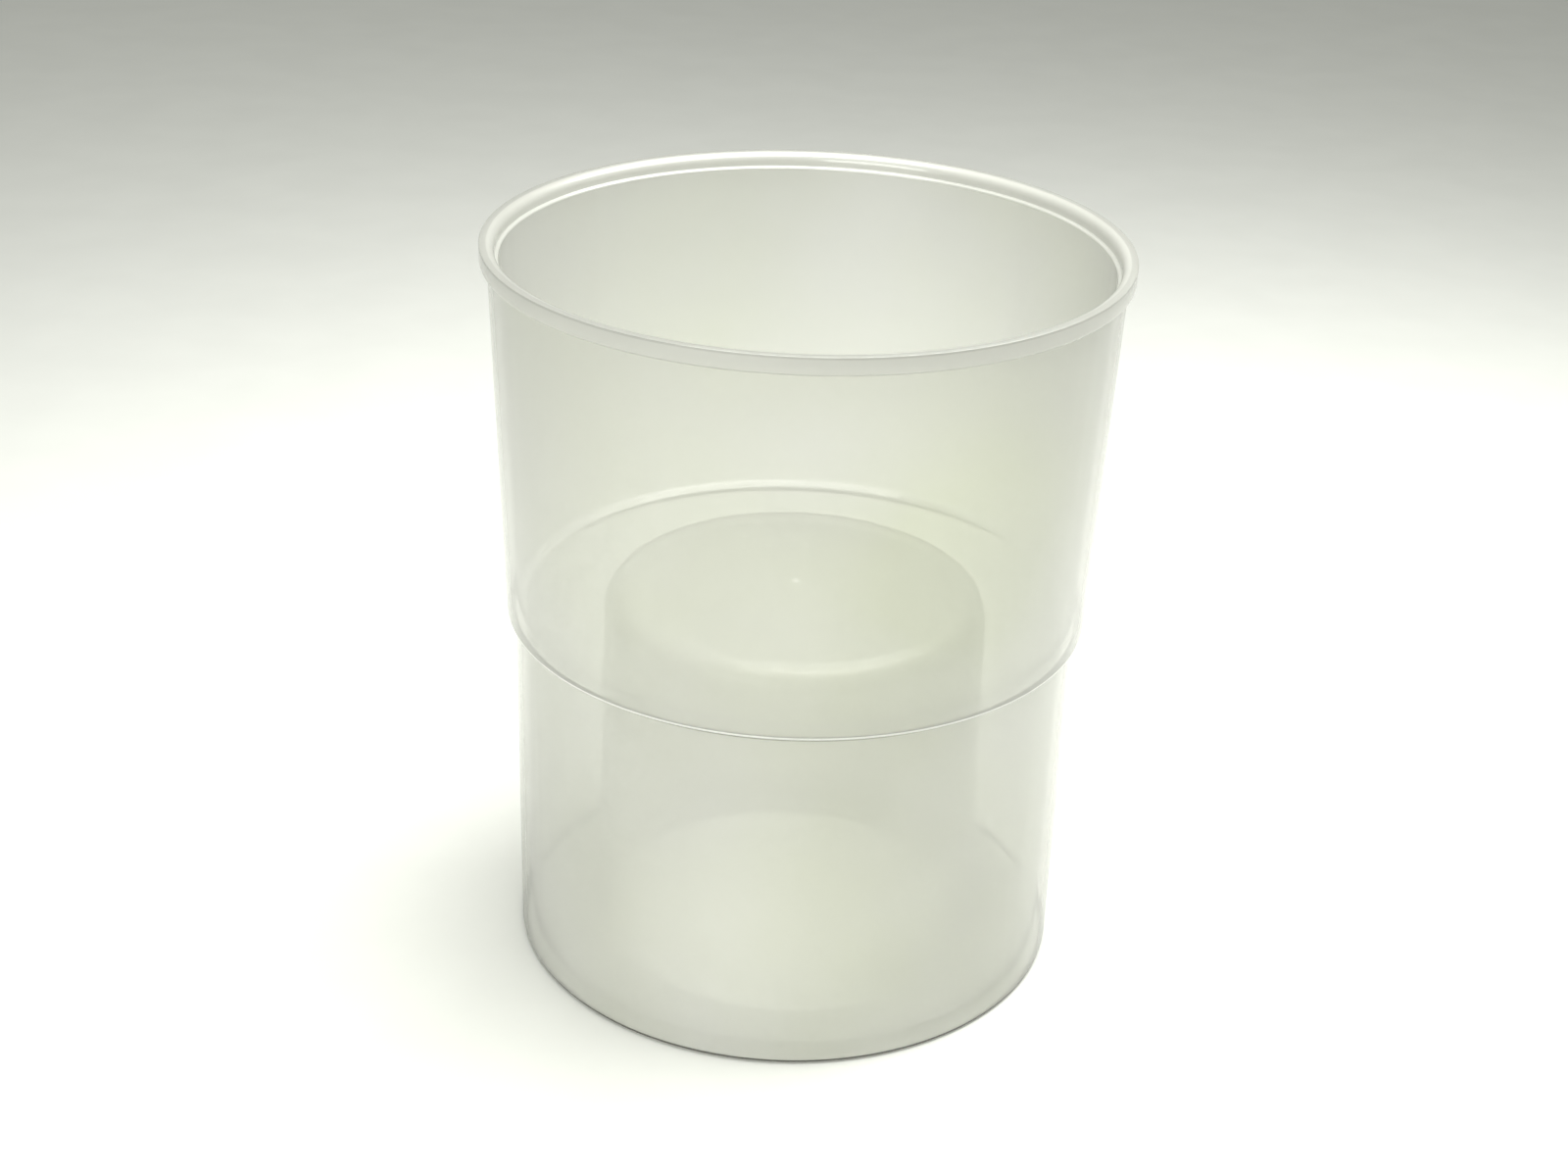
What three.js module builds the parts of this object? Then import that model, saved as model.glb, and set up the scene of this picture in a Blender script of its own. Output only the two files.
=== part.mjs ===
// Fuel sampler cup: one translucent polypropylene moulding, drawn here as the zones that a mould
// maker would name. Every zone is a solid of revolution about +Z, and neighbouring zones meet face
// to face on a level plane. Millimetres, +Z up, origin at the centre of the face the cup stands on.
import * as THREE from "three";

// Overall sizes
const HEIGHT = 85;
const WALL = 1.25;
const SEGMENTS = 64; // facets round the axis
const GATE_SEGMENTS = 16;
const ARC_STEPS = 4; // chords in a small rounded corner

// Rim: a bead outside, and a seat for a lid inside
const BEAD_HEIGHT = 2;
const BEAD_OVERHANG = 0.8;
const BEAD_TOP_ROUND = 0.8;
const BEAD_FOOT_ROUND = 0.3;
const LIP_ROUND = 0.45; // inner edge of the lip
const LID_SEAT_DEPTH = 1.6; // below the top of the lip
const LID_SEAT_WIDTH = 0.7;
const SEAT_EDGE_ROUND = 0.3;

// Upper wall: outside radii at its two ends
const UPPER_TOP_RADIUS = 34.5;
const UPPER_FOOT_RADIUS = 33.05;

// Step between the two diameters
const STEP_HEIGHT = 42; // of its underside
const STEP_THICKNESS = 1;
const STEP_ROUND_INSIDE = 0.6;
const STEP_EDGE_ROUND = 0.15;

// Lower wall: outside radii at its two ends
const LOWER_TOP_RADIUS = 32.05;
const LOWER_FOOT_RADIUS = 31.9;

// Floor of the annular channel
const FLOOR_THICKNESS = 1.25;
const HEEL_ROUND_OUTSIDE = 0.6;
const HEEL_ROUND_INSIDE = 0.8;
const PEDESTAL_FOOT_ROUND = 1.8;
const HOLLOW_MOUTH_ROUND = 0.5;

// Pedestal: hollow from below
const PEDESTAL_HEIGHT = 44.1;
const PEDESTAL_TOP_RADIUS = 21.9;
const PEDESTAL_FOOT_RADIUS = 22.6;
const SHOULDER_ROUND = 3;

// Gate vestige: the stub left where the plastic was injected
const GATE_RADIUS = 0.65;
const GATE_TIP_RADIUS = 0.4;
const GATE_HEIGHT = 0.3;

// Levels of the planes where the zones meet
const BEAD_FOOT = HEIGHT - BEAD_HEIGHT;
const LID_SEAT = HEIGHT - LID_SEAT_DEPTH;
const LEDGE_TOP = STEP_HEIGHT + STEP_THICKNESS;
const UPPER_FOOT = LEDGE_TOP + STEP_ROUND_INSIDE;
const LOWER_FOOT = FLOOR_THICKNESS + HEEL_ROUND_INSIDE;
const PEDESTAL_FOOT = FLOOR_THICKNESS + PEDESTAL_FOOT_ROUND;
const SHOULDER_FOOT = PEDESTAL_HEIGHT - SHOULDER_ROUND;

// Outside radius of a tapered wall at a height, from its radii at two heights
function taper(height, footHeight, footRadius, topHeight, topRadius) {
  const share = (height - footHeight) / (topHeight - footHeight);
  return footRadius + (topRadius - footRadius) * share;
}

const upperRadius = (z) => taper(z, STEP_HEIGHT, UPPER_FOOT_RADIUS, BEAD_FOOT, UPPER_TOP_RADIUS);
const lowerRadius = (z) => taper(z, 0, LOWER_FOOT_RADIUS, STEP_HEIGHT, LOWER_TOP_RADIUS);
const pedestalRadius = (z) => {
  return taper(z, PEDESTAL_FOOT, PEDESTAL_FOOT_RADIUS, SHOULDER_FOOT, PEDESTAL_TOP_RADIUS);
};

// Points [r, z] of an arc about [r, z], from one angle to another, in degrees
function arc(r, z, radius, from, to, steps = ARC_STEPS) {
  const points = [];
  for (let i = 0; i <= steps; i += 1) {
    const angle = THREE.MathUtils.degToRad(from + ((to - from) * i) / steps);
    points.push([r + radius * Math.cos(angle), z + radius * Math.sin(angle)]);
  }
  return points;
}

// Material of the moulding: natural polypropylene, milky and see-through
function polypropylene() {
  return new THREE.MeshStandardMaterial({
    color: 0xdcded0,
    roughness: 0.35,
    metalness: 0,
    transparent: true,
    opacity: 0.6,
  });
}

// A named solid of revolution about +Z. The outline is a list of [r, z] that runs anticlockwise,
// seen with the axis on the left. It closes on itself, or starts and ends on the axis.
function revolve(name, outline, segments = SEGMENTS) {
  const points = outline.map(([r, z]) => new THREE.Vector2(r, z));
  const first = points[0];
  if (first.x > 0) points.push(first.clone());
  const geometry = new THREE.LatheGeometry(points, segments);
  geometry.rotateX(Math.PI / 2);
  const mesh = new THREE.Mesh(geometry, polypropylene());
  mesh.name = name;
  return mesh;
}

function rimBead() {
  const wallInside = UPPER_TOP_RADIUS - WALL;
  const outside = UPPER_TOP_RADIUS + BEAD_OVERHANG;
  const seatOutside = wallInside + LID_SEAT_WIDTH;
  return revolve("rim_bead", [
    [wallInside, BEAD_FOOT],
    ...arc(outside - BEAD_FOOT_ROUND, BEAD_FOOT + BEAD_FOOT_ROUND, BEAD_FOOT_ROUND, -90, 0, 2),
    ...arc(outside - BEAD_TOP_ROUND, HEIGHT - BEAD_TOP_ROUND, BEAD_TOP_ROUND, 0, 90),
    ...arc(seatOutside + LIP_ROUND, HEIGHT - LIP_ROUND, LIP_ROUND, 90, 180, 3),
    [seatOutside, LID_SEAT],
    ...arc(wallInside + SEAT_EDGE_ROUND, LID_SEAT - SEAT_EDGE_ROUND, SEAT_EDGE_ROUND, 90, 180, 2),
  ]);
}

function upperWall() {
  return revolve("upper_wall", [
    [upperRadius(UPPER_FOOT) - WALL, UPPER_FOOT],
    [upperRadius(UPPER_FOOT), UPPER_FOOT],
    [UPPER_TOP_RADIUS, BEAD_FOOT],
    [UPPER_TOP_RADIUS - WALL, BEAD_FOOT],
  ]);
}

function stepRing() {
  const topInside = upperRadius(UPPER_FOOT) - WALL;
  const footInside = LOWER_TOP_RADIUS - WALL;
  const outside = UPPER_FOOT_RADIUS;
  const round = STEP_ROUND_INSIDE;
  return revolve("step_ring", [
    [footInside, STEP_HEIGHT],
    ...arc(outside - STEP_EDGE_ROUND, STEP_HEIGHT + STEP_EDGE_ROUND, STEP_EDGE_ROUND, -90, 0, 1),
    [upperRadius(UPPER_FOOT), UPPER_FOOT],
    ...arc(topInside - round, LEDGE_TOP + round, round, 0, -60, 3),
    [footInside, LEDGE_TOP - STEP_THICKNESS / 2],
  ]);
}

function lowerWall() {
  return revolve("lower_wall", [
    [lowerRadius(LOWER_FOOT) - WALL, LOWER_FOOT],
    [lowerRadius(LOWER_FOOT), LOWER_FOOT],
    [LOWER_TOP_RADIUS, STEP_HEIGHT],
    [LOWER_TOP_RADIUS - WALL, STEP_HEIGHT],
  ]);
}

function floorRing() {
  const heelInside = lowerRadius(LOWER_FOOT) - WALL;
  const heel = HEEL_ROUND_OUTSIDE;
  const inner = HEEL_ROUND_INSIDE;
  const foot = PEDESTAL_FOOT_ROUND;
  const mouth = PEDESTAL_FOOT_RADIUS - WALL;
  const mouthRound = HOLLOW_MOUTH_ROUND;
  return revolve("floor_ring", [
    ...arc(mouth + mouthRound, mouthRound, mouthRound, 180, 270, 2),
    ...arc(LOWER_FOOT_RADIUS - heel, heel, heel, -90, 0),
    [lowerRadius(LOWER_FOOT), LOWER_FOOT],
    ...arc(heelInside - inner, LOWER_FOOT, inner, 0, -90, 3),
    ...arc(PEDESTAL_FOOT_RADIUS + foot, PEDESTAL_FOOT, foot, -90, -180),
    [mouth, PEDESTAL_FOOT],
  ]);
}

function pedestalWall() {
  return revolve("pedestal_wall", [
    [PEDESTAL_FOOT_RADIUS - WALL, PEDESTAL_FOOT],
    [PEDESTAL_FOOT_RADIUS, PEDESTAL_FOOT],
    [PEDESTAL_TOP_RADIUS, SHOULDER_FOOT],
    [PEDESTAL_TOP_RADIUS - WALL, SHOULDER_FOOT],
  ]);
}

function pedestalTop() {
  const centre = PEDESTAL_TOP_RADIUS - SHOULDER_ROUND;
  return revolve("pedestal_top", [
    [0, PEDESTAL_HEIGHT - WALL],
    ...arc(centre, SHOULDER_FOOT, SHOULDER_ROUND - WALL, 90, 0),
    ...arc(centre, SHOULDER_FOOT, SHOULDER_ROUND, 0, 90, 6),
    [0, PEDESTAL_HEIGHT],
  ]);
}

function gateVestige() {
  const outline = [
    [0, PEDESTAL_HEIGHT],
    [GATE_RADIUS, PEDESTAL_HEIGHT],
    [GATE_TIP_RADIUS, PEDESTAL_HEIGHT + GATE_HEIGHT],
    [0, PEDESTAL_HEIGHT + GATE_HEIGHT],
  ];
  return revolve("gate_vestige", outline, GATE_SEGMENTS);
}

const cup = new THREE.Group();
cup.add(rimBead());
cup.add(upperWall());
cup.add(stepRing());
cup.add(lowerWall());
cup.add(floorRing());
cup.add(pedestalWall());
cup.add(pedestalTop());
cup.add(gateVestige());

export default cup;
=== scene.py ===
# %% [markdown]
# # A fuel sampler cup in milky plastic
#
# The cup is one moulding of natural polypropylene: open at the top, stepped part way up, with a hollow
# pedestal that rises from its floor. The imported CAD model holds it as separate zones, which is right for
# collision and mass, but a see-through wall shows every cut between zones as a ring. So the zones give
# the sizes here, and one seamless body is spun from a single outline and stands for all of them.

# %% Load the frame
import math

import bmesh
import bpy
from mathutils import Matrix, Vector


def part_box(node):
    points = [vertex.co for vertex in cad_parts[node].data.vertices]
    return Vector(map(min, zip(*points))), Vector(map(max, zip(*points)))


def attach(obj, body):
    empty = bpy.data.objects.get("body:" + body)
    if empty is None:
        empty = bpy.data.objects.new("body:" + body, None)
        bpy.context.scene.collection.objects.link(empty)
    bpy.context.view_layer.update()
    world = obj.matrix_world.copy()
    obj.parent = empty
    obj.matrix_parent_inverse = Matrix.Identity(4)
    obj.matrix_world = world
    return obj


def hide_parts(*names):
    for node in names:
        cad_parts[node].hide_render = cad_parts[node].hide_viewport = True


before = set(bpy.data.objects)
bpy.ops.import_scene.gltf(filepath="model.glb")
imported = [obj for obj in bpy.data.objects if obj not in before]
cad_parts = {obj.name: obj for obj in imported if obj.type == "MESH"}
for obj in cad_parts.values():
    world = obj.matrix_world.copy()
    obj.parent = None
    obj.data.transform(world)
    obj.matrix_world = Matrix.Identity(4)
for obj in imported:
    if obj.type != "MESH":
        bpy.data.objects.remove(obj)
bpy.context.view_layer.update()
scene = bpy.context.scene
MM = 0.001
print("CAD zones:", ", ".join(sorted(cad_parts)))

# %% [markdown]
# ## Sizes
#
# Every level and radius that the zones can give is read from their boxes: a round zone's radius is the
# largest x of its box. A tapered wall is a straight line in section, so two known points on it give its
# radius anywhere, which is how the outline gets the corners that lie between two zones.


# %% Read the zones' levels and radii
def zone(name):
    """The lowest level, the highest level and the largest radius of a CAD zone."""
    low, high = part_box(name)
    return low.z, high.z, high.x


def line_through(first, second):
    """The radius of a straight wall at any level, from two (radius, level) points on it."""
    slope = (second[0] - first[0]) / (second[1] - first[1])
    return lambda level: first[0] + slope * (level - first[1])


bead_foot, rim_top, bead_radius = zone("rim_bead")
_, _, upper_top_radius = zone("upper_wall")
step_level, step_top, step_top_radius = zone("step_ring")
_, _, lower_top_radius = zone("lower_wall")
stand_level, channel_top, heel_radius = zone("floor_ring")
pedestal_foot, shoulder_foot, pedestal_foot_radius = zone("pedestal_wall")
_, pedestal_level, pedestal_top_radius = zone("pedestal_top")
_, gate_level, gate_radius = zone("gate_vestige")

upper_radius = line_through((step_top_radius, step_top), (upper_top_radius, bead_foot))
lower_radius = line_through((heel_radius, channel_top), (lower_top_radius, step_level))
pedestal_radius = line_through(
    (pedestal_foot_radius, pedestal_foot), (pedestal_top_radius, shoulder_foot)
)
print(f"the rim is {bead_radius / MM:.1f} mm in radius at {rim_top / MM:.1f} mm")

# %% [markdown]
# ## What the boxes don't show
#
# A box has no inside, so the wall's thickness, the lid seat inside the rim and the ledge inside the step
# are given here, and so are the rounds of the corners. A mould is cut with rounds nearly everywhere: the
# plastic flows better past them, and a cup without them would look folded from card.

# %% Sizes inside the wall
WALL = 1.25 * MM
SEAT_DEPTH = 1.6 * MM
SEAT_WIDTH = 0.4 * MM
LEDGE_DROP = 0.7 * MM
LEDGE_RISE = 1.15 * MM
GATE_TIP_RADIUS = 0.4 * MM
print(f"the bore below the seat is {(upper_top_radius - WALL) / MM:.2f} mm in radius")

# %% [markdown]
# The rim is crisp outside and rolls over a large round inwards, which is why a rim like this one catches
# the lamp in a broad band along its far side and in no more than a hairline along its near side. The
# hollow's round is the shoulder's less the wall, so that the wall is even round the bend.

# %% Rounds of the corners
GATE_TIP_ROUND = 0.15 * MM
GATE_FOOT_ROUND = 0.12 * MM
SHOULDER_ROUND = 3.0 * MM
PEDESTAL_FOOT_ROUND = 1.8 * MM
CHANNEL_ROUND = 0.8 * MM
LEDGE_LOW_ROUND = 0.45 * MM
LEDGE_HIGH_ROUND = 0.7 * MM
SEAT_INNER_ROUND = 0.25 * MM
SEAT_OUTER_ROUND = 0.12 * MM
LIP_ROUND = 1.0 * MM
CROWN_ROUND = 0.07 * MM
BEAD_FOOT_ROUND = 0.35 * MM
BEAD_ROOT_ROUND = 0.2 * MM
STEP_EDGE_ROUND = 0.2 * MM
STEP_ROOT_ROUND = 0.15 * MM
HEEL_ROUND = 0.6 * MM
HOLLOW_MOUTH_ROUND = 0.5 * MM
HOLLOW_TOP_ROUND = SHOULDER_ROUND - WALL
print(f"the hollow's round is {HOLLOW_TOP_ROUND / MM:.2f} mm")

# %% [markdown]
# ## The outline
#
# A lathe shape is only as good as its outline. This one is a list of sharp corners, each with the radius
# of its round, going over the pedestal, across the channel, up the inside, over the rim, down the outside
# and back underneath to the axis. Keeping corner and round apart makes the list short and easy to change.


# %% The corners of the cup's section
def cup_corners():
    """(radius, level, round) for each corner of the half section, in metres."""
    floor_level = stand_level + WALL
    bore = upper_top_radius - WALL
    seat = rim_top - SEAT_DEPTH
    lip = bore + SEAT_WIDTH
    ledge_low = step_level + LEDGE_RISE - LEDGE_DROP
    ledge_high = step_level + LEDGE_RISE
    hollow_top = pedestal_level - WALL
    return [
        (0, gate_level, 0),
        (GATE_TIP_RADIUS, gate_level, GATE_TIP_ROUND),
        (gate_radius, pedestal_level, GATE_FOOT_ROUND),
        (pedestal_top_radius, pedestal_level, SHOULDER_ROUND),
        (pedestal_radius(floor_level), floor_level, PEDESTAL_FOOT_ROUND),
        (lower_radius(floor_level) - WALL, floor_level, CHANNEL_ROUND),
        (lower_top_radius - WALL, ledge_low, LEDGE_LOW_ROUND),
        (upper_radius(ledge_high) - WALL, ledge_high, LEDGE_HIGH_ROUND),
        (bore, seat, SEAT_INNER_ROUND),
        (lip, seat, SEAT_OUTER_ROUND),
        (lip, rim_top, LIP_ROUND),
        (bead_radius, rim_top, CROWN_ROUND),
        (bead_radius, bead_foot, BEAD_FOOT_ROUND),
        (upper_top_radius, bead_foot, BEAD_ROOT_ROUND),
        (upper_radius(step_level), step_level, STEP_EDGE_ROUND),
        (lower_top_radius, step_level, STEP_ROOT_ROUND),
        (lower_radius(stand_level), stand_level, HEEL_ROUND),
        (pedestal_radius(stand_level) - WALL, stand_level, HOLLOW_MOUTH_ROUND),
        (pedestal_top_radius - WALL, hollow_top, HOLLOW_TOP_ROUND),
        (0, hollow_top, 0),
    ]


corners = cup_corners()
print(len(corners), "corners in the outline")

# %% [markdown]
# A vertex bevel rounds a corner of a wire, but it asks how far from the corner the arc begins, not for
# the arc's radius. That distance is the radius divided by the tangent of half the corner's angle, so a
# slack corner between two nearly straight walls begins its arc close by and a sharp one further off.


# %% Round the corners of a wire
ROUND_STEPS = 6


def setback(before, corner, after, round_radius):
    """How far from a corner, along both its edges, an arc of this radius begins."""
    first = (before - corner).normalized()
    second = (after - corner).normalized()
    half_angle = first.angle(second) / 2
    return round_radius / math.tan(half_angle)


def wire_outline(bm, corner_list, segments):
    """A wire of the outline in the XZ plane, its corners rounded by a vertex bevel."""
    verts = [bm.verts.new((radius, 0, level)) for radius, level, _ in corner_list]
    for first, second in zip(verts, verts[1:]):
        bm.edges.new((first, second))
    rounds = []
    for index, (_, _, round_radius) in enumerate(corner_list):
        if round_radius:
            sides = verts[index - 1].co, verts[index].co, verts[index + 1].co
            rounds.append((verts[index], setback(*sides, round_radius)))
    for vert, reach in rounds:
        bmesh.ops.bevel(
            bm, geom=[vert], offset=reach, offset_type="OFFSET", affect="VERTICES",
            segments=segments, profile=0.5, material=-1,
        )


begins = setback(Vector((0, 0, 1)), Vector((0, 0, 0)), Vector((1, 0, 0)), LIP_ROUND)
print(f"the lip's round begins {begins / MM:.2f} mm from its square corner")

# %% [markdown]
# ## Spinning the body
#
# A full spin with its ends merged turns the wire into a closed skin with no seam. The points on the axis
# come out once for every step, so doubles are merged first and the normals are set outwards after that:
# on an unmerged mesh there is no single inside for the normals to agree on. Because the outline already
# goes down both sides of the wall, the skin has its thickness from the start and needs no Solidify.


# %% Spin the outline
AROUND = 256
SAME_POINT = 0.0005 * MM


def add_object(name, data):
    """A new object at the origin that holds a mesh, a light or a camera."""
    added = bpy.data.objects.new(name, data)
    scene.collection.objects.link(added)
    return added


def add_mesh(name, bm):
    """A new object that holds what a bmesh has made, and the bmesh is let go."""
    mesh = bpy.data.meshes.new(name)
    bm.to_mesh(mesh)
    bm.free()
    return add_object(name, mesh)


def make_cup():
    """The whole moulding, as one closed skin."""
    bm = bmesh.new()
    wire_outline(bm, corners, ROUND_STEPS)
    bmesh.ops.spin(
        bm, geom=bm.verts[:] + bm.edges[:], cent=(0, 0, 0), axis=(0, 0, 1),
        angle=math.tau, steps=AROUND, use_merge=True, use_duplicate=False,
    )
    bmesh.ops.remove_doubles(bm, verts=bm.verts, dist=SAME_POINT)
    bmesh.ops.recalc_face_normals(bm, faces=bm.faces)
    moulding = add_mesh("cup_moulding", bm)
    moulding.data.shade_smooth()
    return moulding


cup = make_cup()
bpy.context.view_layer.update()
print("cup:", len(cup.data.polygons), "faces,", [round(side / MM, 2) for side in cup.dimensions], "mm")

# %% [markdown]
# ## Node helpers
#
# A material is a small graph, and a few helpers keep it readable. Every pattern here reads Object
# coordinates, which are the cup's own metres from the middle of its standing face, so a number in a
# pattern is a real size on the cup. A Mix node keeps a set of sockets for each kind of value it can mix,
# all with the same names, so its colour sockets are taken by number.

# %% Helpers for material graphs
MIX_FIRST_COLOUR = 6
MIX_SECOND_COLOUR = 7
MIX_COLOUR = 2


def add_node(tree, kind, settings=None, **sockets):
    """A new node with its settings, and its input sockets by name, spaces written as underscores."""
    node = tree.nodes.new(kind)
    for key, value in (settings or {}).items():
        setattr(node, key, value)
    for key, value in sockets.items():
        node.inputs[key.replace("_", " ")].default_value = value
    return node


def plug(tree, value, socket):
    """Joins an output to a socket, or sets the socket to a plain value."""
    if isinstance(value, bpy.types.NodeSocket):
        tree.links.new(value, socket)
    else:
        socket.default_value = value


def maths(tree, operation, first, second):
    """The result of a Math node on two outputs or numbers."""
    node = add_node(tree, "ShaderNodeMath", {"operation": operation})
    plug(tree, first, node.inputs[0])
    plug(tree, second, node.inputs[1])
    return node.outputs["Value"]


def product(tree, *values):
    """Several outputs or numbers multiplied together."""
    result = values[0]
    for value in values[1:]:
        result = maths(tree, "MULTIPLY", result, value)
    return result


def spread(tree, value, low, high, to_low, to_high):
    """A value carried from one pair of ends to another, and held at the new ends."""
    node = add_node(
        tree, "ShaderNodeMapRange",
        From_Min=low, From_Max=high, To_Min=to_low, To_Max=to_high,
    )
    plug(tree, value, node.inputs["Value"])
    return node.outputs["Result"]


def blend(tree, share, first, second):
    """A colour between two others."""
    node = add_node(tree, "ShaderNodeMix", {"data_type": "RGBA"})
    plug(tree, share, node.inputs["Factor"])
    plug(tree, first, node.inputs[MIX_FIRST_COLOUR])
    plug(tree, second, node.inputs[MIX_SECOND_COLOUR])
    return node.outputs[MIX_COLOUR]


def noise(tree, place, scale, detail, settings=None):
    """The value of a noise at a place."""
    node = add_node(tree, "ShaderNodeTexNoise", settings, Scale=scale, Detail=detail)
    plug(tree, place, node.inputs["Vector"])
    return node.outputs["Fac"]


print("helpers ready")

# %% [markdown]
# ## The greyer bead, and painted highlights and shade
#
# The bead is two millimetres thick and looks greyer than the wall. The flat top of the pedestal is greyed
# a little by painted shade. Painted highlights lie as pale lines along the foot of the step and on the
# ledge inside it, and as a pale dot on the mark of the gate. Painted shade lies as fine dark lines along
# the rim's outer edge, under the step and where the heel turns under to the table. All are rings at known
# levels, so masks made from the height and the radius on the cup place them.

# %% Masks by height and radius
LINE_SOFT = 0.1 * MM


def band(tree, height, ends):
    """1 between two levels and 0 a soft distance outside them."""
    above = spread(tree, height, ends[0] - LINE_SOFT, ends[0], 0, 1)
    below = spread(tree, height, ends[1], ends[1] + LINE_SOFT, 1, 0)
    return product(tree, above, below)


def beyond(tree, radius, edge):
    """0 inside a radius and 1 outside it."""
    return spread(tree, radius, edge - LINE_SOFT, edge, 0, 1)


print(f"every line fades out over {LINE_SOFT / MM:.1f} mm")

# %% Painted shade lines on the rim, the step and the heel
SHADE_UNDER_STEP = (step_level - 0.55 * MM, step_level + 0.02 * MM)
STEP_SHADE_SHARE = 0.75
HEEL_SHADE_TOP = stand_level + 0.5 * MM
CROWN_SHADE_LEVEL = rim_top - 0.2 * MM
CROWN_FROM = bead_radius - 0.7 * MM
CROWN_SHADE_SHARE = 0.28


def painted_shade_lines(tree, height, radius, outside):
    """1 on the painted shade line round the heel, and less on the painted shade under the step and on the
    rim's outer edge.
    """
    heel = spread(tree, height, HEEL_SHADE_TOP, HEEL_SHADE_TOP + LINE_SOFT, 1, 0)
    step = product(tree, band(tree, height, SHADE_UNDER_STEP), STEP_SHADE_SHARE)
    crown = spread(tree, height, CROWN_SHADE_LEVEL - LINE_SOFT, CROWN_SHADE_LEVEL, 0, CROWN_SHADE_SHARE)
    crown = product(tree, crown, beyond(tree, radius, CROWN_FROM))
    lines = product(tree, maths(tree, "MAXIMUM", step, heel), outside)
    return maths(tree, "MAXIMUM", lines, crown)


print(f"the line under the step is {(SHADE_UNDER_STEP[1] - SHADE_UNDER_STEP[0]) / MM:.2f} mm wide")

# %% Painted highlight lines on the step and its ledge, and a painted highlight dot on the gate
STEP_HIGHLIGHT = (step_level + 0.12 * MM, step_level + 0.3 * MM)
LEDGE_HIGHLIGHT = (step_level + LEDGE_RISE - LEDGE_DROP, step_level + LEDGE_RISE)
LEDGE_HIGHLIGHT_SHARE = 0.8


def painted_highlight_lines(tree, height, radius, outside):
    """1 on the painted highlight line round the step and on the painted highlight dot of the gate mark,
    and less on the painted highlight of the ledge inside the step.
    """
    not_pedestal = spread(tree, radius, pedestal_top_radius, lower_top_radius - 2 * WALL, 0, 1)
    not_outside = spread(tree, radius, lower_top_radius, lower_top_radius + WALL / 2, 1, 0)
    ledge = product(tree, band(tree, height, LEDGE_HIGHLIGHT), not_pedestal, not_outside, LEDGE_HIGHLIGHT_SHARE)
    near_axis = spread(tree, radius, gate_radius, 2 * gate_radius, 1, 0)
    gate = product(tree, spread(tree, height, pedestal_level, gate_level, 0, 1), near_axis)
    step = product(tree, band(tree, height, STEP_HIGHLIGHT), outside)
    return maths(tree, "MAXIMUM", maths(tree, "MAXIMUM", step, gate), ledge)


print(f"the line on the step is {(STEP_HIGHLIGHT[1] - STEP_HIGHLIGHT[0]) / MM:.2f} mm wide")

# %% Painted shade on the flat top of the pedestal
DISC_EDGE = pedestal_top_radius - 2.4 * MM
DISC_SOFT = 0.5 * MM


def pedestal_disc(tree, height, radius):
    """1 on the flat top of the pedestal."""
    inside = spread(tree, radius, DISC_EDGE, DISC_EDGE + DISC_SOFT, 1, 0)
    return product(tree, inside, spread(tree, height, shoulder_foot, pedestal_level, 0, 1))


print(f"the flat top of the pedestal is grey to {DISC_EDGE / MM:.1f} mm from its middle")

# %% [markdown]
# ## Clouds, patches and tool marks
#
# Moulded polypropylene is never one even tint. A broad noise gives the soft clouds that show where the
# melt flowed and cooled, and a soft ball of the warmer tint sits high on one side of the wall. The steel
# that shaped the cup was turned on a lathe, so its faint rings are printed in the plastic: a noise that
# reads only the radius and the height draws rings on the walls and on the flat faces alike.

# %% Clouds and the warm patch
CLOUD_SCALE = 34
CLOUD_DETAIL = 3
CLOUD_ENDS = (0.35, 0.7)
MOST_CLOUD = 0.45
PATCH_CENTRE = (17 * MM, -27 * MM, 60 * MM)
PATCH_REACH = 26 * MM
PATCH_SHARE = 1.6
MOST_WARM = 0.8


def warm_share(tree, place):
    """How much of the warmer tint shows: broad clouds, and one soft patch high on the wall."""
    cloudy = spread(tree, noise(tree, place, CLOUD_SCALE, CLOUD_DETAIL), *CLOUD_ENDS, 0, MOST_CLOUD)
    centred = add_node(tree, "ShaderNodeMapping", {"vector_type": "TEXTURE"})
    centred.inputs["Location"].default_value = PATCH_CENTRE
    centred.inputs["Scale"].default_value = [PATCH_REACH] * 3
    plug(tree, place, centred.inputs["Vector"])
    ball = add_node(tree, "ShaderNodeTexGradient", {"gradient_type": "QUADRATIC_SPHERE"})
    plug(tree, centred.outputs["Vector"], ball.inputs["Vector"])
    patch = product(tree, ball.outputs["Fac"], PATCH_SHARE)
    return maths(tree, "MINIMUM", maths(tree, "ADD", cloudy, patch), MOST_WARM)


print(f"the warm patch is {2 * PATCH_REACH / MM:.0f} mm across, {PATCH_CENTRE[2] / MM:.0f} mm up")

# %% Rings and streaks
RING_SCALE = 2200
RING_DETAIL = 1
STREAK_SCALE = 420
STREAK_DETAIL = 2
STREAK_SQUASH = 0.035


def height_and_radius(tree, place):
    """The height on the cup and the distance from its axis."""
    parts = add_node(tree, "ShaderNodeSeparateXYZ")
    plug(tree, place, parts.inputs["Vector"])
    across = product(tree, parts.outputs["X"], parts.outputs["X"])
    along = product(tree, parts.outputs["Y"], parts.outputs["Y"])
    radius = maths(tree, "SQRT", maths(tree, "ADD", across, along), 0)
    return parts.outputs["Z"], radius


def lathe_rings(tree, height, radius):
    """Noise of height and radius only."""
    section = add_node(tree, "ShaderNodeCombineXYZ")
    plug(tree, radius, section.inputs["X"])
    plug(tree, height, section.inputs["Y"])
    flat = {"noise_dimensions": "2D"}
    return noise(tree, section.outputs["Vector"], RING_SCALE, RING_DETAIL, flat)


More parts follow.
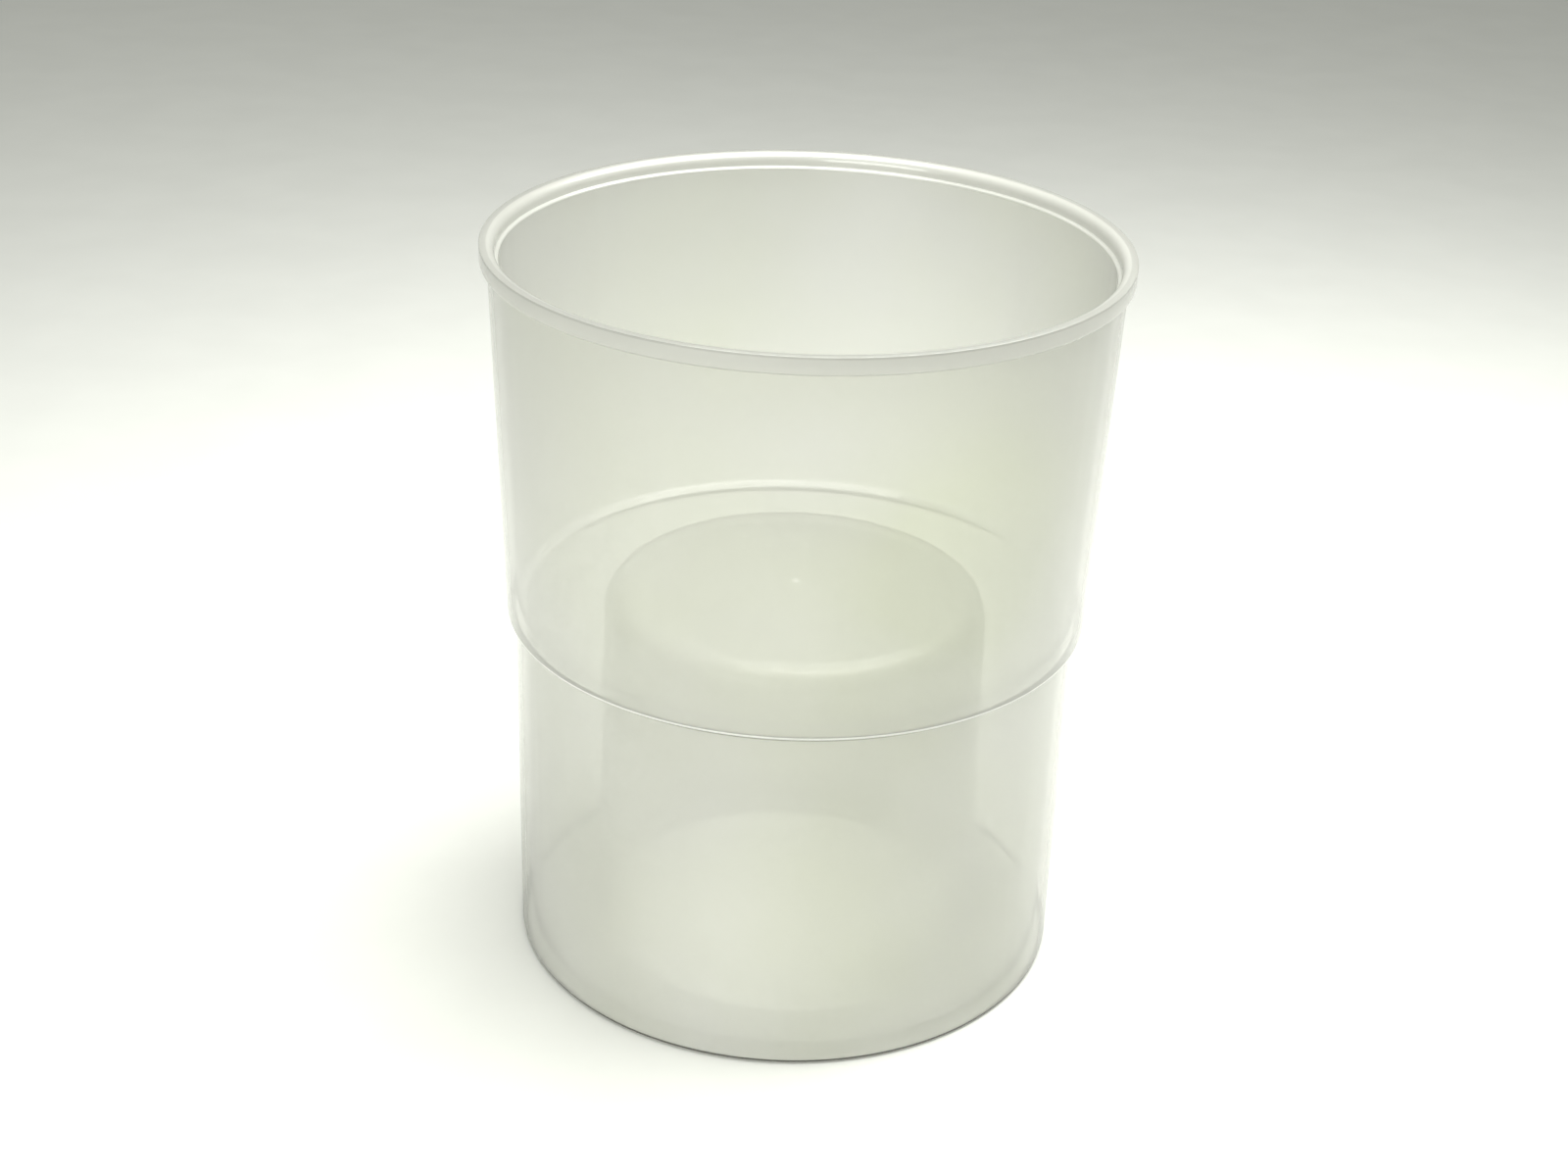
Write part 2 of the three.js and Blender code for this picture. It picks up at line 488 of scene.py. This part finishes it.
def drag_streaks(tree, place):
    """Noise drawn out along the height, as the core leaves it when the cup slides off."""
    squashed = add_node(tree, "ShaderNodeMapping")
    squashed.inputs["Scale"].default_value = (1, 1, STREAK_SQUASH)
    plug(tree, place, squashed.inputs["Vector"])
    return noise(tree, squashed.outputs["Vector"], STREAK_SCALE, STREAK_DETAIL)


print(f"rings about {1 / RING_SCALE / MM:.1f} mm wide, streaks about {1 / STREAK_SCALE / MM:.1f} mm")

# %% [markdown]
# ## Relief
#
# Rings, drag streaks and the fine grain of the skin are far too small to model, so they are bump. They
# are added into one height first: one Bump node is faster than a chain of three and looks no worse.

# %% Relief of the skin
GRAIN_SCALE = 1500
GRAIN_DETAIL = 1
RELIEF = 0.02 * MM
RELIEF_STRENGTH = 0.3
RING_SHARE = 0.4
STREAK_SHARE = 0.35
GRAIN_SHARE = 0.25


def skin_relief(tree, place, height, radius):
    """A normal that carries rings, streaks and grain together."""
    rings = product(tree, lathe_rings(tree, height, radius), RING_SHARE)
    streaks = product(tree, drag_streaks(tree, place), STREAK_SHARE)
    grain = product(tree, noise(tree, place, GRAIN_SCALE, GRAIN_DETAIL), GRAIN_SHARE)
    bump = add_node(tree, "ShaderNodeBump", Strength=RELIEF_STRENGTH, Distance=RELIEF)
    plug(tree, maths(tree, "ADD", maths(tree, "ADD", rings, streaks), grain), bump.inputs["Height"])
    return bump.outputs["Normal"]


print(f"the relief is {RELIEF / MM:.2f} mm deep, at a strength of {RELIEF_STRENGTH}")

# %% [markdown]
# ## Natural polypropylene
#
# Uncoloured polypropylene is cloudy, not clear. Some light goes straight through a thin wall, some comes
# out scattered, and some is thrown back as a pale veil, so what lies behind is visible but faint. Volume
# scattering could do this and would be slow and noisy in a thin shell. Here a Transparent shader carries
# the straight light and a rough Principled shader with some transmission carries the milk and the gloss,
# and a Layer Weight leans towards the milk where the wall is seen edge on and is in effect thicker. The
# milk is paler low on the cup and greyer towards the rim, and it never falls below a third of the mix:
# where nearly all the light goes straight through, a denoised render shows blotches.

# %% Tints and shares of the plastic
LOW_MILK = (0.92, 0.92, 0.9, 1)
HIGH_MILK = (0.61, 0.61, 0.588, 1)
WARM_MILK = (0.68, 0.70, 0.58, 1)
EDGE_MILK = (0.58, 0.58, 0.56, 1)
# The bead's own grey, also the tint of the painted shade on the pedestal top.
BEAD_AND_DISC_SHADE_MILK = (0.6, 0.6, 0.57, 1)
# The tint of the painted shade lines.
PAINTED_SHADE_MILK = (0.12, 0.12, 0.11, 1)
# The tint of the painted highlights.
PAINTED_HIGHLIGHT_MILK = (0.97, 0.97, 0.95, 1)
LOW_CLEAR = (0.982, 0.982, 0.97, 1)
HIGH_CLEAR = (0.975, 0.975, 0.962, 1)
WARM_CLEAR = (0.95, 0.96, 0.90, 1)
EDGE_CLEAR = (0.81, 0.81, 0.795, 1)
# The bead's clear tint, also used by the painted shade on the pedestal top.
BEAD_AND_DISC_SHADE_CLEAR = (0.9, 0.9, 0.88, 1)
# How much straight light the painted shade lines let through.
PAINTED_SHADE_CLEAR = (0.35, 0.35, 0.33, 1)
LEAST_MILK = 0.33
MOST_MILK = 0.7
SOLID_MILK = 0.9
print(f"the milk's share is {LEAST_MILK} seen square on and {MOST_MILK} seen edge on")

# %% Finish of the plastic
EDGE_POWER = 1.5
BEAD_SOFT = 0.25 * MM
# How far the painted shade greys the flat top of the pedestal.
DISC_SHADE = 0.12
LINES_FROM = heel_radius - 0.6 * MM
SCUFF_ENDS = (0.3, 0.7)
SMOOTHEST = 0.32
ROUGHEST = 0.42
PASSED = 0.4
GLOSS = 1.0
GLOSS_ROUGHNESS = 0.07
IOR = 1.49


def layered(tree, tint, layers):
    """A colour with others laid over it in turn, each by its own share."""
    for share, over in layers:
        tint = blend(tree, share, tint, over)
    return tint


def milky_polypropylene():
    """The natural polypropylene of the whole moulding."""
    material = bpy.data.materials.new("milky_polypropylene")
    material.use_nodes = True
    tree = material.node_tree
    place = add_node(tree, "ShaderNodeTexCoord").outputs["Object"]
    height, radius = height_and_radius(tree, place)
    facing = add_node(tree, "ShaderNodeLayerWeight")
    edge_on = maths(tree, "POWER", facing.outputs["Facing"], EDGE_POWER)
    rise = spread(tree, height, stand_level, rim_top, 0, 1)
    warm = warm_share(tree, place)
    bead = spread(tree, height, bead_foot, bead_foot + BEAD_SOFT, 0, 1)
    # Painted shade on the flat top of the pedestal.
    disc_shade = product(tree, pedestal_disc(tree, height, radius), DISC_SHADE)
    outside = beyond(tree, radius, LINES_FROM)
    # Painted shade lines under the step, round the heel and on the rim's outer edge.
    painted_shade = painted_shade_lines(tree, height, radius, outside)
    # Painted highlights on the step, on its ledge and on the gate mark.
    painted_highlight = painted_highlight_lines(tree, height, radius, outside)

    milk = tree.nodes["Principled BSDF"]
    milk.inputs["IOR"].default_value = IOR
    milk.inputs["Transmission Weight"].default_value = PASSED
    milk.inputs["Coat Weight"].default_value = GLOSS
    milk.inputs["Coat Roughness"].default_value = GLOSS_ROUGHNESS
    scuffed = spread(tree, drag_streaks(tree, place), *SCUFF_ENDS, SMOOTHEST, ROUGHEST)
    plug(tree, scuffed, milk.inputs["Roughness"])
    milk_layers = (
        (rise, HIGH_MILK), (warm, WARM_MILK), (edge_on, EDGE_MILK), (bead, BEAD_AND_DISC_SHADE_MILK),
        (disc_shade, BEAD_AND_DISC_SHADE_MILK), (painted_highlight, PAINTED_HIGHLIGHT_MILK), (painted_shade, PAINTED_SHADE_MILK),
    )
    plug(tree, layered(tree, LOW_MILK, milk_layers), milk.inputs["Base Color"])
    plug(tree, skin_relief(tree, place, height, radius), milk.inputs["Normal"])

    clear = add_node(tree, "ShaderNodeBsdfTransparent")
    clear_layers = (
        (rise, HIGH_CLEAR), (warm, WARM_CLEAR), (edge_on, EDGE_CLEAR),
        (bead, BEAD_AND_DISC_SHADE_CLEAR), (disc_shade, BEAD_AND_DISC_SHADE_CLEAR), (painted_shade, PAINTED_SHADE_CLEAR),
    )
    plug(tree, layered(tree, LOW_CLEAR, clear_layers), clear.inputs["Color"])

    mix = add_node(tree, "ShaderNodeMixShader")
    solid = product(tree, maths(tree, "MAXIMUM", bead, painted_highlight), SOLID_MILK)
    thin = spread(tree, edge_on, 0, 1, LEAST_MILK, MOST_MILK)
    plug(tree, maths(tree, "MAXIMUM", thin, solid), mix.inputs[0])
    plug(tree, clear.outputs["BSDF"], mix.inputs[1])
    plug(tree, milk.outputs["BSDF"], mix.inputs[2])
    plug(tree, mix.outputs["Shader"], tree.nodes["Material Output"].inputs["Surface"])
    return material


cup.data.materials.append(milky_polypropylene())
print(len(cup.data.materials[0].node_tree.nodes), "nodes in the plastic")

# %% [markdown]
# ## Joining the frame
#
# The cup has no moving piece, so it rides on the one body there is, and it stands for every CAD zone.

# %% Join the frame
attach(cup, "root")
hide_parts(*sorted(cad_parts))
print("the cup stands for", len(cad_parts), "CAD zones")

# %% [markdown]
# ## The paper it stands on
#
# A pale sheet is the whole setting. The camera sees no edge of it, and it has a very slight mottle and a
# little tooth, so that light falls off across it softly and the shadow of the cup has something to rest
# on. It lies a hair below the standing face, so that the two never share a plane.

# %% Paper
PAPER_HALF = 3.0
PAPER_GAP = 0.02 * MM
PAPER_PALE = (0.905, 0.91, 0.885, 1)
PAPER_DULL = (0.885, 0.89, 0.865, 1)
PAPER_ROUGHNESS = 0.95
PAPER_SHEEN = 0.2
MOTTLE_SCALE = 60
MOTTLE_DETAIL = 4
MOTTLE_ENDS = (0.35, 0.65)
TOOTH_SCALE = 1800
TOOTH_DETAIL = 1
TOOTH = 0.03 * MM
TOOTH_STRENGTH = 0.1


def pale_paper():
    """Uncoated paper with a slight mottle and a little tooth."""
    material = bpy.data.materials.new("pale_paper")
    material.use_nodes = True
    tree = material.node_tree
    place = add_node(tree, "ShaderNodeTexCoord").outputs["Object"]
    sheet = tree.nodes["Principled BSDF"]
    sheet.inputs["Roughness"].default_value = PAPER_ROUGHNESS
    sheet.inputs["Specular IOR Level"].default_value = PAPER_SHEEN
    mottle = spread(tree, noise(tree, place, MOTTLE_SCALE, MOTTLE_DETAIL), *MOTTLE_ENDS, 0, 1)
    plug(tree, blend(tree, mottle, PAPER_PALE, PAPER_DULL), sheet.inputs["Base Color"])
    tooth = add_node(tree, "ShaderNodeBump", Strength=TOOTH_STRENGTH, Distance=TOOTH)
    plug(tree, noise(tree, place, TOOTH_SCALE, TOOTH_DETAIL), tooth.inputs["Height"])
    plug(tree, tooth.outputs["Normal"], sheet.inputs["Normal"])
    return material


def make_paper():
    """One flat face, wide enough that the camera sees none of its edges."""
    bm = bmesh.new()
    bmesh.ops.create_grid(bm, x_segments=1, y_segments=1, size=PAPER_HALF)
    sheet = add_mesh("paper", bm)
    sheet.data.materials.append(pale_paper())
    sheet.location.z = stand_level - PAPER_GAP
    return sheet


paper = make_paper()
print("paper:", 2 * PAPER_HALF, "m across")

# %% [markdown]
# ## Light
#
# The cup is lit as on a desk: a lamp close overhead that leaves the far paper grey and draws the bright
# bands along the far rim, a weak fill from the front for the upright walls, and a dim room.

# %% Lights
ROOM_STRENGTH = 0.315
ROOM_COLOUR = (0.975, 1.0, 0.92)
LAMP_COLOUR = (0.99, 1.0, 0.955)
LAMP_PLACE = (0.062, 0.02, 0.27)
LAMP_AIM = (0.02, 0.0, 0.0)
LAMP_SIZE = (0.24, 0.32)
LAMP_POWER = 1.33
FILL_PLACE = (-0.35, -0.75, 0.25)
FILL_SIZE = (0.6, 0.4)
FILL_POWER = 4.6


def panel_light(name, place, aim, size, power, shape="RECTANGLE"):
    """An area light of the given width and height, turned to face a point."""
    data = bpy.data.lights.new(name, "AREA")
    data.shape = shape
    data.size, data.size_y = size
    data.energy = power
    data.color = LAMP_COLOUR
    light = add_object(name, data)
    light.location = place
    light.rotation_euler = (Vector(aim) - Vector(place)).to_track_quat("-Z", "Y").to_euler()
    light.visible_camera = False
    return light


def make_world():
    """A dim room that lights the cup evenly from all sides."""
    world = bpy.data.worlds.new("room")
    world.use_nodes = True
    background = world.node_tree.nodes["Background"]
    background.inputs["Color"].default_value = (*ROOM_COLOUR, 1)
    background.inputs["Strength"].default_value = ROOM_STRENGTH
    return world


scene.view_settings.view_transform = "Standard"
scene.world = make_world()
panel_light("lamp", LAMP_PLACE, LAMP_AIM, LAMP_SIZE, LAMP_POWER, "ELLIPSE")
panel_light("fill", FILL_PLACE, (0, 0, rim_top / 2), FILL_SIZE, FILL_POWER)
print("two lights and a dim room")

# %% [markdown]
# ## Camera
#
# The cup is seen from a little above and close by, so its taper and its round rim both read. The place
# is given in heights of the cup, and a slight roll is part of the view.

# %% Camera
SENSOR_WIDTH = 36
LENS = 55.3
PITCH = 0.4565
YAW = -0.0054
ROLL = 0.0358
BACK_IN_HEIGHTS = 2.9307
UP_IN_HEIGHTS = 1.9488


def make_camera():
    """A camera turned by pitch, yaw and roll from facing along y."""
    data = bpy.data.cameras.new("camera")
    data.sensor_width = SENSOR_WIDTH
    data.lens = LENS
    camera = add_object("camera", data)
    ahead = math.cos(PITCH)
    forward = Vector((math.sin(YAW) * ahead, math.cos(YAW) * ahead, -math.sin(PITCH)))
    right = Vector((math.cos(YAW), -math.sin(YAW), 0))
    up = right.cross(forward)
    right_rolled = math.cos(ROLL) * right + math.sin(ROLL) * up
    up_rolled = math.cos(ROLL) * up - math.sin(ROLL) * right
    turn = Matrix((right_rolled, up_rolled, -forward)).transposed().to_4x4()
    height = rim_top - stand_level
    place = Matrix.Translation((0, -BACK_IN_HEIGHTS * height, UP_IN_HEIGHTS * height))
    camera.matrix_world = place @ turn
    scene.camera = camera
    return camera


camera = make_camera()
print("camera at", [round(value, 3) for value in camera.matrix_world.translation], "m")
